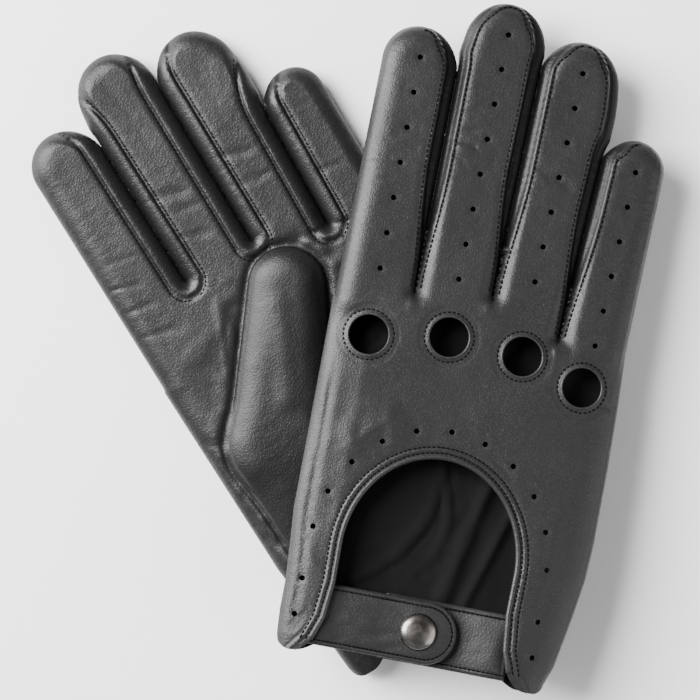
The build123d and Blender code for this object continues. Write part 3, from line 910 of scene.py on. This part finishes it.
def capsule_mesh(ends, radius, ups, sides=6):
    """Short round-ended stitches: points and faces for every pair of ends."""
    a, b = ends[:, 0], ends[:, 1]
    way = b - a
    way /= np.maximum(np.linalg.norm(way, axis=1, keepdims=True), 1e-9)
    across = np.cross(way, ups)
    across /= np.maximum(np.linalg.norm(across, axis=1, keepdims=True), 1e-9)
    up = np.cross(across, way)
    rings = []
    first = [(a, shift, size) for shift, size in CAPSULE_RINGS]
    last = [(b, -shift, size) for shift, size in reversed(CAPSULE_RINGS)]
    for end, shift, size in first + last:
        for k in range(sides):
            turn = 2 * pi * k / sides
            rings.append(end + way * shift * radius + (across * cos(turn) + up * sin(turn)) * radius * size)
    points = np.stack(rings, 1).reshape(-1, 3)
    faces = []
    per = 6 * sides
    for s in range(len(a)):
        base = s * per
        faces.append([base + k for k in range(sides)][::-1])
        for r in range(5):
            for k in range(sides):
                n = (k + 1) % sides
                low = base + r * sides
                faces.append([low + k, low + n, low + sides + n, low + sides + k])
        faces.append([base + 5 * sides + k for k in range(sides)])
    return points, faces


def along_path(path, pitch, start=0.0):
    """Evenly spaced positions along a path of pattern points."""
    path = np.asarray(path, float)
    steps = np.hypot(*(path[1:] - path[:-1]).T)
    total = np.concatenate([[0], np.cumsum(steps)])
    at = np.arange(start, total[-1], pitch)
    return np.stack([np.interp(at, total, path[:, 0]), np.interp(at, total, path[:, 1])], 1), at, total


def stitches(path, height, out, pitch=1.75, length=0.85, radius=0.3, sink=0.05):
    """Ends of stitches laid along a path on the surface z = height(x, y).

    out is +1 on the back and -1 on the palm.
    """
    path = np.asarray(path, float)
    starts, at, total = along_path(path, pitch)
    stops_at = at + length
    keep = stops_at < total[-1]
    starts = starts[keep]
    stops = np.stack([np.interp(stops_at[keep], total, path[:, axis]) for axis in (0, 1)], 1)
    z0, z1 = height(starts[:, 0], starts[:, 1]), height(stops[:, 0], stops[:, 1])
    lift = out * (radius * 0.35 - sink)
    a = np.column_stack([starts, z0 + lift])
    b = np.column_stack([stops, z1 + lift])
    return np.stack([a, b], 1)


def stitch_object(name, runs, side, out=1.0, radius=0.3):
    ends = np.concatenate([r for r in runs if len(r)])
    ups = np.zeros((len(ends), 3))
    ups[:, 2] = out
    points, faces = capsule_mesh(ends, radius, ups)
    return new_object(name, points, faces, side, None, [THREAD])


def swept(name, path, profile, side, material, closed=False):
    """A strip that carries one profile (across, up) along a path of 3-D pattern points."""
    path = np.asarray(path, float)
    if closed:
        way = np.roll(path, -1, 0) - np.roll(path, 1, 0)
    else:
        way = np.gradient(path, axis=0)
    way[:, 2] = 0
    way /= np.linalg.norm(way, axis=1, keepdims=True)
    across = np.stack([way[:, 1], -way[:, 0], np.zeros(len(path))], 1)
    rings = [path + across * u + np.array([0, 0, v]) for u, v in profile]
    points = np.stack(rings, 1).reshape(-1, 3)
    count, size = len(path), len(profile)
    faces = []
    for i in range(count if closed else count - 1):
        j = (i + 1) % count
        for k in range(size):
            n = (k + 1) % size
            faces.append([i * size + k, j * size + k, j * size + n, i * size + n])
    if not closed:
        faces.append(list(range(size)))
        faces.append([(count - 1) * size + k for k in range(size)][::-1])
    return new_object(name, points, faces, side, None, [material])


def lathe(name, profile, centre, side, material, steps=64):
    """A turned metal piece from (radius, z) points, standing on the stud's axis."""
    turns = np.linspace(0, 2 * pi, steps, endpoint=False)
    points, faces = [], []
    for radius, z in profile:
        across = centre[0] + radius * np.cos(turns)
        upward = centre[1] + radius * np.sin(turns)
        ring = np.stack([across, upward, np.full(steps, z)], 1)
        points.append(ring)
    for r in range(len(profile) - 1):
        for k in range(steps):
            n = (k + 1) % steps
            faces.append([r * steps + k, r * steps + n, (r + 1) * steps + n, (r + 1) * steps + k])
    faces.append([k for k in range(steps)][::-1])
    faces.append([(len(profile) - 1) * steps + k for k in range(steps)])
    return new_object(name, np.concatenate(points), faces, side, None, [material])


# ---------------------------------------------------------------- one glove
def finger_split(finger):
    """Distance along a finger where its own piece begins, before the hinge line."""
    return finger_reach(finger) - finger[6] - 9.0


def skin_labels(flat, tris, palm):
    """Which finger's end each triangle belongs to, and which wall it lies in (-1 for none of them)."""
    centre = flat[tris].mean(1)
    x, y = centre[:, 0], centre[:, 1]
    tip = np.full(len(tris), -1)
    wall = np.full(len(tris), -1)
    outs = np.stack(finger_outs(x, y)[1])
    owner = outs.argmin(0)
    for i, finger in enumerate(FINGERS):
        along, aside = finger_along(finger, x, y)
        mine = (owner == i) & (outs[i] < 0.5)
        tip[mine & (along > finger_split(finger))] = i
        if palm:
            for gap in (i - 1, i):
                if 0 <= gap <= 2:
                    near = slot_distance(gap, x, y) < PALM_SEAM
                    beside = aside < 0 if gap == i - 1 else aside >= 0
                    wall[near & beside & mine] = gap
        else:
            narrow = -outs[i] < back_inset(i, x, y)
            for gap in (i - 1, i):
                if 0 <= gap <= 2:
                    beside = aside < 0 if gap == i - 1 else aside >= 0
                    wall[mine & narrow & beside & (y > CROTCHES[gap][1])] = gap
    if palm:
        for gap in range(3):
            web = (slot_distance(gap, x, y) < PALM_SEAM) & (tip < 0) & (y > CROTCHES[gap][3] - PALM_SEAM)
            wall[web & (wall < 0)] = gap
    return tip, wall


STEP = 0.55
BACK_ROWS = (0.3, 0.8, 1.4, 2.0, 2.6, 3.2, 3.8, 4.4, 5.0)
PALM_ROWS = (0.35, 1.0, 2.0, 3.2, 4.2, 4.9, 5.4, 5.8, 6.2, 6.8)
BACK_EDGES = np.concatenate([glove_edges(STEP), hole_edges(), cuff_edges(back_domain)])
BACK_FLAT = flat_mesh(back_domain, BACK_EDGES, BACK_ROWS, 1.25)
PALM_EDGES = np.concatenate([glove_edges(STEP), cuff_edges(palm_domain)])
PALM_FLAT = flat_mesh(palm_domain, PALM_EDGES, PALM_ROWS, 1.15)


def rim_of_back(x, y):
    return (np.abs(hole_distance(x, y)) < 0.35) | (y < -82.0)


def rim_of_palm(x, y):
    return y < -84.0


INSIDE_SEAM = (
    (0.8, -18.0), (2.0, -26.0), (2.2, -33.0), (1.0, -41.0),
    (-1.7, -47.0), (-7.9, -57.0), (-16.2, -64.4), (-26.0, -70.0),
)


def inside_palm(x, y):
    """How far the flesh side of the palm stands up into the hollow: the thumb's seam and some loose folds."""
    seam = np.min([segment(x, y, a, b) for a, b in zip(INSIDE_SEAM, INSIDE_SEAM[1:])], axis=0)
    thumb_side = polygon(x, y, list(INSIDE_SEAM) + [(-60.0, -70.0), (-60.0, -18.0)]) < 0
    up = np.where(thumb_side, 0.9 * smooth(0.0, 1.2, seam), 0.0) + 0.45 * bell(seam - 3.2, 1.6) * thumb_side
    up += 1.9 * bell(segment(x, y, (17.5, -24.0), (8.0, -66.0)) + 0.8 * noise(x, y, 9.0, 77), 2.6)
    up += 1.3 * bell(segment(x, y, (26.5, -33.0), (15.0, -70.0)), 1.8)
    up += 0.9 * bell(segment(x, y, (-24.0, -36.0), (-30.0, -62.0)), 4.0)
    up += 0.35 * noise(x, y, 7.0, 78)
    return up * smooth(-86.0, -74.0, y) * smooth(4.0, -12.0, y) * smooth(33.0, 27.0, np.abs(x))


def blend_tip(item):
    """Bakes the placement of a finger's end piece into its mesh."""
    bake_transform(item)


def skins(side):
    """Back and palm skins, cut into the pieces that are sewn together."""
    hand = f"{side}_hand"
    for palm in (False, True):
        flat, tris = PALM_FLAT if palm else BACK_FLAT
        height = palm_height if palm else back_height
        points = np.column_stack([flat, height(flat[:, 0], flat[:, 1], side)])
        if palm:
            tris = tris[:, ::-1]
        normals = normals_of(points, tris)
        tip, wall = skin_labels(flat, tris, palm)
        face = "palm" if palm else "back"
        hide = PALM_NAPPA if palm else NAPPA
        # the finger walls take the darker copies of the leather: painted shade between the fingers
        wall_hide_painted_shade = PALM_WALL_PAINTED_SHADE if palm else BACK_WALL_PAINTED_SHADE
        hand_tris = tris[(tip < 0) & (wall < 0)]
        rim, relief = (rim_of_palm, inside_palm) if palm else (rim_of_back, None)
        item = piece(f"{side}_{face}_leather", points, normals, hand_tris, side, hide, FLESH_AND_PAINTED_SHADE, rim, relief)
        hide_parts(f"{side}_{face}_panel")
        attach(item, hand)
        for gap in range(3):
            part = tris[(tip < 0) & (wall == gap)]
            if len(part):
                label = f"{side}_wall_{FINGERS[gap][0]}_{FINGERS[gap + 1][0]}_{face}"
                item = piece(label, points, normals, part, side, wall_hide_painted_shade)
                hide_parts(f"{side}_fourchette_{FINGERS[gap][0]}_{FINGERS[gap + 1][0]}")
                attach(item, hand)
        for i, finger in enumerate(FINGERS):
            name = finger[0]
            part = tris[(tip == i) & (wall < 0)]
            item = piece(f"{side}_{name}_{face}_leather", points, normals, part, side, hide)
            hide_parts(f"{side}_{name}_tip_{face}")
            blend_tip(item)
            part = tris[(tip == i) & (wall >= 0)]
            item = piece(f"{side}_{name}_walls_{face}", points, normals, part, side, wall_hide_painted_shade)
            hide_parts(f"{side}_{name}_tip_walls")
            blend_tip(item)


def finger_seam(index, extra=0.0):
    """The back seam round a finger, as pattern points from the thumb side to the other."""
    finger = FINGERS[index]
    edge = finger_edge(index, 0.6)
    aside = finger_along(finger, edge[:, 0], edge[:, 1])[1]
    low = CROTCHES[max(index - 1, 0)][1]
    high = CROTCHES[min(index, 2)][1]
    left = edge[(aside < 0) & (edge[:, 1] > low + 1.0)]
    right = edge[(aside >= 0) & (edge[:, 1] > high + 1.0)]

    def order(points):
        along, aside = finger_along(finger, points[:, 0], points[:, 1])
        tip_along = finger_reach(finger) - finger[5] / 2
        angle = np.arctan2(np.abs(aside), np.maximum(along - tip_along, 0.0))
        round_tip = tip_along + (pi / 2 - angle) * finger[5] / 2
        return points[np.argsort(np.where(along < tip_along, along, round_tip))]

    def shape(px, py):
        return finger_outs(px, py)[1][index]

    ring = np.concatenate([order(left), order(right)[::-1]])
    gx, gy = gradient(shape, ring[:, 0], ring[:, 1])
    inset = back_inset(index, ring[:, 0], ring[:, 1]) + extra
    return np.stack([ring[:, 0] - gx * inset, ring[:, 1] - gy * inset], 1)


def palm_seam(gap):
    """The seam round a slot on the palm, from one finger's end round the crotch to the next finger's."""
    left, right = FINGERS[gap], FINGERS[gap + 1]
    x0, start = CROTCHES[gap][2:]
    ends = [(f, np.arange(start - ROOT_Y, finger_reach(f) - 9.0, 0.8)) for f in (left, right)]
    one = [finger_point(left, t, left[5] / 2 - PALM_SEAM) for t in ends[0][1][::-1]]
    turns = np.linspace(0.1, pi - 0.1, 24)
    turn = [(x0 - PALM_STITCH * cos(t), start - PALM_STITCH * sin(t)) for t in turns]
    other = [finger_point(right, t, PALM_SEAM - right[5] / 2) for t in ends[1][1]]
    points = np.array(one + turn + other)

    def field(px, py):
        return slot_distance(gap, px, py) - PALM_STITCH

    for _ in range(5):
        x, y = points[:, 0], points[:, 1]
        gx, gy = gradient(field, x, y)
        points = points - 0.9 * field(x, y)[:, None] * np.stack([gx, gy], 1)
    return points


def palm_sewing(side):
    """Stitches of the seams round the slots between the fingers."""

    def palm(x, y):
        return palm_height(x, y, side)

    rows = [stitches(palm_seam(gap), palm, -1.0, 1.55, 0.75, FINE_THREAD) for gap in range(3)]
    ends = np.concatenate(rows)
    middle = ends.mean(1)
    away = np.stack([slot_distance(gap, middle[:, 0], middle[:, 1]) for gap in range(3)]).min(0)
    inside = np.stack(finger_outs(middle[:, 0], middle[:, 1])[1]).min(0)
    kept = (np.abs(away - PALM_STITCH) < 0.35) & ((inside < -1.2) | (middle[:, 1] < 20.0))
    ends, middle = ends[kept], middle[kept]
    outs = np.stack(finger_outs(middle[:, 0], middle[:, 1])[1])
    owner = outs.argmin(0)
    taken = np.zeros(len(ends), bool)
    for i, finger in enumerate(FINGERS):
        far = (owner == i) & (finger_along(finger, middle[:, 0], middle[:, 1])[0] > finger_split(finger))
        if far.any():
            item = stitch_object(f"{side}_{finger[0]}_palm_stitches", [ends[far]], side, -1.0, FINE_THREAD)
            blend_tip(item)
        taken |= far
    item = stitch_object(f"{side}_palm_stitches", [ends[~taken]], side, -1.0, FINE_THREAD)
    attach(item, f"{side}_hand")


def ring_path(cx, cy, radius):
    turns = np.linspace(0, 2 * pi, 120)
    return np.stack([cx + radius * np.cos(turns), cy + radius * np.sin(turns)], 1)


def sewing(side):
    """Stitches of the back seams, the knuckle rings and the opening."""

    def back(x, y):
        return back_height(x, y, side)

    for index, finger in enumerate(FINGERS):
        path = finger_seam(index, 0.95)
        aside = finger_along(finger, path[:, 0], path[:, 1])[1]
        split = finger_split(finger)
        halves = [aside < 0, aside >= 0]
        if index == 0:
            halves = halves[1:]  # the glove's outer edges are folded, not sewn
        if index == 3:
            halves = halves[:1]
        ends = np.concatenate([stitches(path[half], back, 1.0) for half in halves])
        middle = ends.mean(1)
        far = finger_along(finger, middle[:, 0], middle[:, 1])[0] > split
        if far.any():
            item = stitch_object(f"{side}_{finger[0]}_stitches", [ends[far]], side)
            blend_tip(item)
        if (~far).any():
            item = stitch_object(f"{side}_{finger[0]}_root_stitches", [ends[~far]], side)
            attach(item, f"{side}_hand")
    runs = [stitches(ring_path(cx, cy, KNUCKLE_R + 1.65), back, 1.0, 1.62, 0.6) for cx, cy in KNUCKLES]
    for grow in (1.95, 3.9):
        row = np.array(opening_outline(grow))
        runs.append(stitches(row[row[:, 1] > SEWN_TO_Y], back, 1.0, 1.62, 0.75))
    item = stitch_object(f"{side}_facing_stitches", runs, side)
    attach(item, f"{side}_hand")


def facings(side):
    """The turned edges of the knuckle holes and the keyhole."""

    def back(x, y):
        return back_height(x, y, side, False)

    profile = [(0.0, -0.7), (0.5, -0.7), (0.6, -0.2), (0.5, 0.05), (0.2, 0.16), (-0.12, 0.06), (-0.22, -0.25)]
    for i, (cx, cy) in enumerate(KNUCKLES):
        path = ring_path(cx, cy, KNUCKLE_R)[:-1]
        ring = np.column_stack([path, back(path[:, 0], path[:, 1])])
        name = f"{side}_knuckle_edge_{FINGERS[i][0]}"
        item = swept(name, ring, profile, side, EDGE_PAINTED_HIGHLIGHT, closed=True)
        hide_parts(f"{side}_knuckle_facings")
        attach(item, f"{side}_hand")
    outline = [p for p in opening_outline() if p[1] > FACING_TO_Y]
    path = line_points(outline, 0.8, closed=False)
    z = back(path[:, 0], path[:, 1])
    profile = [
        (0.35, -0.4), (0.2, 0.1), (-0.35, 0.42), (-0.95, 0.42),
        (-1.4, 0.1), (-1.35, -0.5), (-0.9, -0.9), (0.1, -0.9),
    ]
    item = swept(f"{side}_keyhole_edge", np.column_stack([path, z]), profile, side, EDGE_PAINTED_HIGHLIGHT)
    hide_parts(f"{side}_opening_facing")
    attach(item, f"{side}_hand")


def thumb(side):
    """The thumb folded across the palm: its outer face and the face against the palm."""
    flat, tris = flat_mesh(thumb_domain, thumb_edge(), (0.3, 0.8, 1.4, 2.0, 2.8, 3.8), 1.2)
    outer = np.column_stack([flat, thumb_height(flat[:, 0], flat[:, 1], side)])
    inner = np.column_stack([flat, np.full(len(flat), -0.24)])
    verts = np.concatenate([outer, inner])
    faces = np.concatenate([tris[:, ::-1], tris + len(flat)])
    centre = flat[tris].mean(1)
    lean = radians(THUMB_TIP_LEAN)
    x, y, _ = THUMB[0]
    hinge = (x - 14.0 * sin(lean), y - 14.0 * cos(lean))
    ahead = (centre[:, 0] - hinge[0]) * sin(lean) + (centre[:, 1] - hinge[1]) * cos(lean) > -THUMB_CREASE
    ahead = np.concatenate([ahead, ahead])
    normals = normals_of(verts, faces)
    item = piece(f"{side}_thumb_leather", verts, normals, faces[~ahead], side, THUMB_PAINTED_SHADE)
    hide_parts(f"{side}_thumb")
    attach(item, f"{side}_hand")
    item = piece(f"{side}_thumb_end_leather", verts, normals, faces[ahead], side, THUMB_PAINTED_SHADE)
    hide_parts(f"{side}_thumb_tip")
    if side == "left":
        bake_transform(item)
    else:
        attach(item, "right_hand")


def thumb_domain(x, y):
    return np.minimum(capsule(x, y, THUMB[0], THUMB[1]), capsule(x, y, THUMB[1], THUMB[2]))


def thumb_edge():
    return np.concatenate([capsule_points(THUMB[0], THUMB[1], 0.6), capsule_points(THUMB[1], THUMB[2], 0.6)])


STRAP_CREASES = (
    (-21.0, -71.5, -6.0, -76.5, 1.0, 0.3), (-17.0, -76.5, -6.0, -79.0, 0.8, 0.25),
    (-18.0, -84.0, -5.0, -81.0, 0.9, 0.25), (-12.0, -72.0, -3.5, -74.0, 0.8, 0.22),
    (-10.0, -87.0, -2.0, -84.5, 0.9, 0.2), (-26.0, -79.0, -14.0, -80.0, 1.6, -0.25),
)
TAB = (-37.5, 14.6, 21.0, 8.25)  # from, to, width, height of its top
BASE = (-11.0, 33.0, 22.0, 4.4)


def strap_shape(x, y, low, high, width, round_end):
    """Distance outside a strap's outline: straight, with a round far end if asked."""
    half = width / 2
    flat_end = high - half if round_end else high
    box_x = np.maximum(low - x, x - flat_end)
    box_y = np.abs(y - STRAP_Y) - half
    body = np.maximum(box_x, box_y)
    if not round_end:
        return body
    return np.minimum(body, np.hypot(x - flat_end, y - STRAP_Y) - half)


def strap_border(low, high, width, round_end, inset=0.0):
    """A strap's outline, or a line inside it, as points from one root corner to the other."""
    half = width / 2
    stop = high - half if round_end else high
    radius = half - inset
    border = [(low, STRAP_Y - radius), (stop, STRAP_Y - radius)]
    if round_end:
        turns = np.linspace(0.05, pi - 0.05, 40)
        border += [(stop + radius * sin(t), STRAP_Y - radius * cos(t)) for t in turns]
    return border + [(stop, STRAP_Y + radius), (low, STRAP_Y + radius)]


def strap_mesh(name, side, low, high, width, top, round_end, lift):
    """One strap: a flat strip with rounded edges and a stitched border."""

    def shape(px, py):
        return strap_shape(px, py, low, high, width, round_end)

    def sewn_height(px, py):
        return top - 0.18 + lift(px)

    edges = line_points(strap_border(low, high, width, round_end), 0.6)
    flat, tris = flat_mesh(shape, edges, (0.25, 0.7, 1.2, 1.7, 2.2), 1.1)
    x, y = flat[:, 0], flat[:, 1]
    deep = -shape(x, y)
    half = STRAP_THICK / 2
    form = half * rise(deep, 1.1) - 0.26 * bell(deep - STRAP_BORDER, 0.45) + 0.2 * smooth(2.0, 5.0, deep)
    if round_end:
        form -= creased(x, y, STRAP_CREASES) * smooth(1.5, 3.0, deep)
    seed = 301 if side == "right" else 331
    soft = 0.22 * noise(x, y, 9.0, seed) + 0.09 * noise(x * 0.5 + y, y - x * 0.7, 3.0, seed + 1)
    form += soft * smooth(0, 2, deep)
    over = lift(x)
    upper = np.column_stack([flat, top - half + form + over])
    under = np.column_stack([flat, top - half - half * rise(deep, 1.1) + over])
    verts = np.concatenate([upper, under])
    faces = np.concatenate([tris, tris[:, ::-1] + len(flat)])
    item = piece(name, verts, normals_of(verts, faces), faces, side, STRAP_NAPPA)
    inner = line_points(strap_border(low, high, width, round_end, STRAP_BORDER), 0.7, closed=False)
    sewn = stitch_object(name + "_stitches", [stitches(inner, sewn_height, 1.0, 1.5, 0.85)], side)
    return item, sewn


def tab_lift(x):
    """How far the tab rises towards the seam that holds it."""
    return 0.9 * smooth(-24.0, -33.0, x)


def base_lift(x):
    """How far the strap's base rises towards its own seam."""
    return 3.4 * smooth(11.0, 31.0, x)


def straps(side):
    """The two ends of the wrist strap and the press stud that joins them."""
    hand, strap = f"{side}_hand", f"{side}_strap"
    for item in strap_mesh(f"{side}_strap_tab_leather", side, *TAB, True, tab_lift):
        if not item.name.endswith("stitches"):
            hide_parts(f"{side}_strap_tab", f"{side}_strap_anchor")
        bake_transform(item)
    for item in strap_mesh(f"{side}_strap_base_leather", side, *BASE, False, base_lift):
        if not item.name.endswith("stitches"):
            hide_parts(f"{side}_strap_base")
        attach(item, hand)
    dome = [(6.2, 8.2), (6.28, 8.5), (6.2, 8.75), (5.98, 9.0)]
    dome += [(5.98 * cos(t), 9.0 + 1.85 * sin(t)) for t in np.linspace(0.12, pi / 2 - 0.03, 12)]
    parts = (
        ("snap_cap", "dome", [(5.7, 8.15)] + dome, strap),
        ("snap_socket", "socket", [(2.4, 4.95), (4.9, 4.85), (5.2, 5.1), (5.2, 6.2), (4.7, 6.6)], strap),
        ("snap_stud", "stud", [(4.6, 4.4), (4.6, 4.7), (2.1, 4.85), (2.15, 5.6), (1.5, 6.0)], hand),
        ("snap_post", "post", [(4.3, 2.1), (4.6, 2.3), (4.6, 2.7), (1.5, 2.8)], hand),
    )
    for node, label, profile, body in parts:
        item = lathe(f"{side}_{label}_metal", profile, STUD, side, METAL)
        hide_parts(f"{side}_{node}")
        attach(item, body)


def make_glove(side):
    skins(side)
    facings(side)
    sewing(side)
    palm_sewing(side)
    thumb(side)
    straps(side)


# ---------------------------------------------------------------- camera, light and floor
def look_at(item, target):
    way = Vector(target) - item.location
    item.rotation_euler = way.to_track_quat("-Z", "Y").to_euler()


def stage():
    camera = bpy.data.objects.new("camera", bpy.data.cameras.new("camera"))
    bpy.context.scene.collection.objects.link(camera)
    camera.data.lens = 150.0
    camera.data.sensor_width = 36.0
    camera.location = (0.00130, -0.0011, 1.009)
    camera.data.clip_start = 0.01
    camera.data.clip_end = 10.0
    bpy.context.scene.camera = camera
    bpy.ops.mesh.primitive_plane_add(size=4.0, location=(0, 0, -0.0004))
    floor = bpy.context.active_object
    floor.name = "floor"
    material, tree, shader, where = blank_material("pale_floor")
    tone = add(tree, "ShaderNodeTexNoise", [("Vector", where)], sockets={"Scale": 3.0})
    mix = add(tree, "ShaderNodeMix", [("Factor", tone.outputs["Fac"])], data_type="RGBA")
    mix.inputs[6].default_value = (0.93, 0.93, 0.93, 1)
    mix.inputs[7].default_value = (0.96, 0.96, 0.96, 1)
    tree.links.new(mix.outputs[2], shader.inputs["Base Color"])
    shader.inputs["Roughness"].default_value = 0.9
    floor.data.materials.append(material)
    world = bpy.data.worlds.new("studio")
    world.use_nodes = True
    world.node_tree.nodes["Background"].inputs["Color"].default_value = (1, 1, 1, 1)
    world.node_tree.nodes["Background"].inputs["Strength"].default_value = 0.2
    bpy.context.scene.world = world
    for name, place, size, power in (
        ("key", (-0.70, 0.36, 0.86), 0.75, 50.0),
        ("side", (-1.05, 0.35, 0.40), 0.8, 26.0),
        ("fill", (0.90, -0.35, 0.55), 0.9, 7.0),
    ):
        lamp = bpy.data.lights.new(name, "AREA")
        lamp.size = size
        lamp.energy = power
        item = bpy.data.objects.new(name, lamp)
        bpy.context.scene.collection.objects.link(item)
        item.location = place
        look_at(item, (0, 0, 0.01))


stage()
make_glove("left")
make_glove("right")
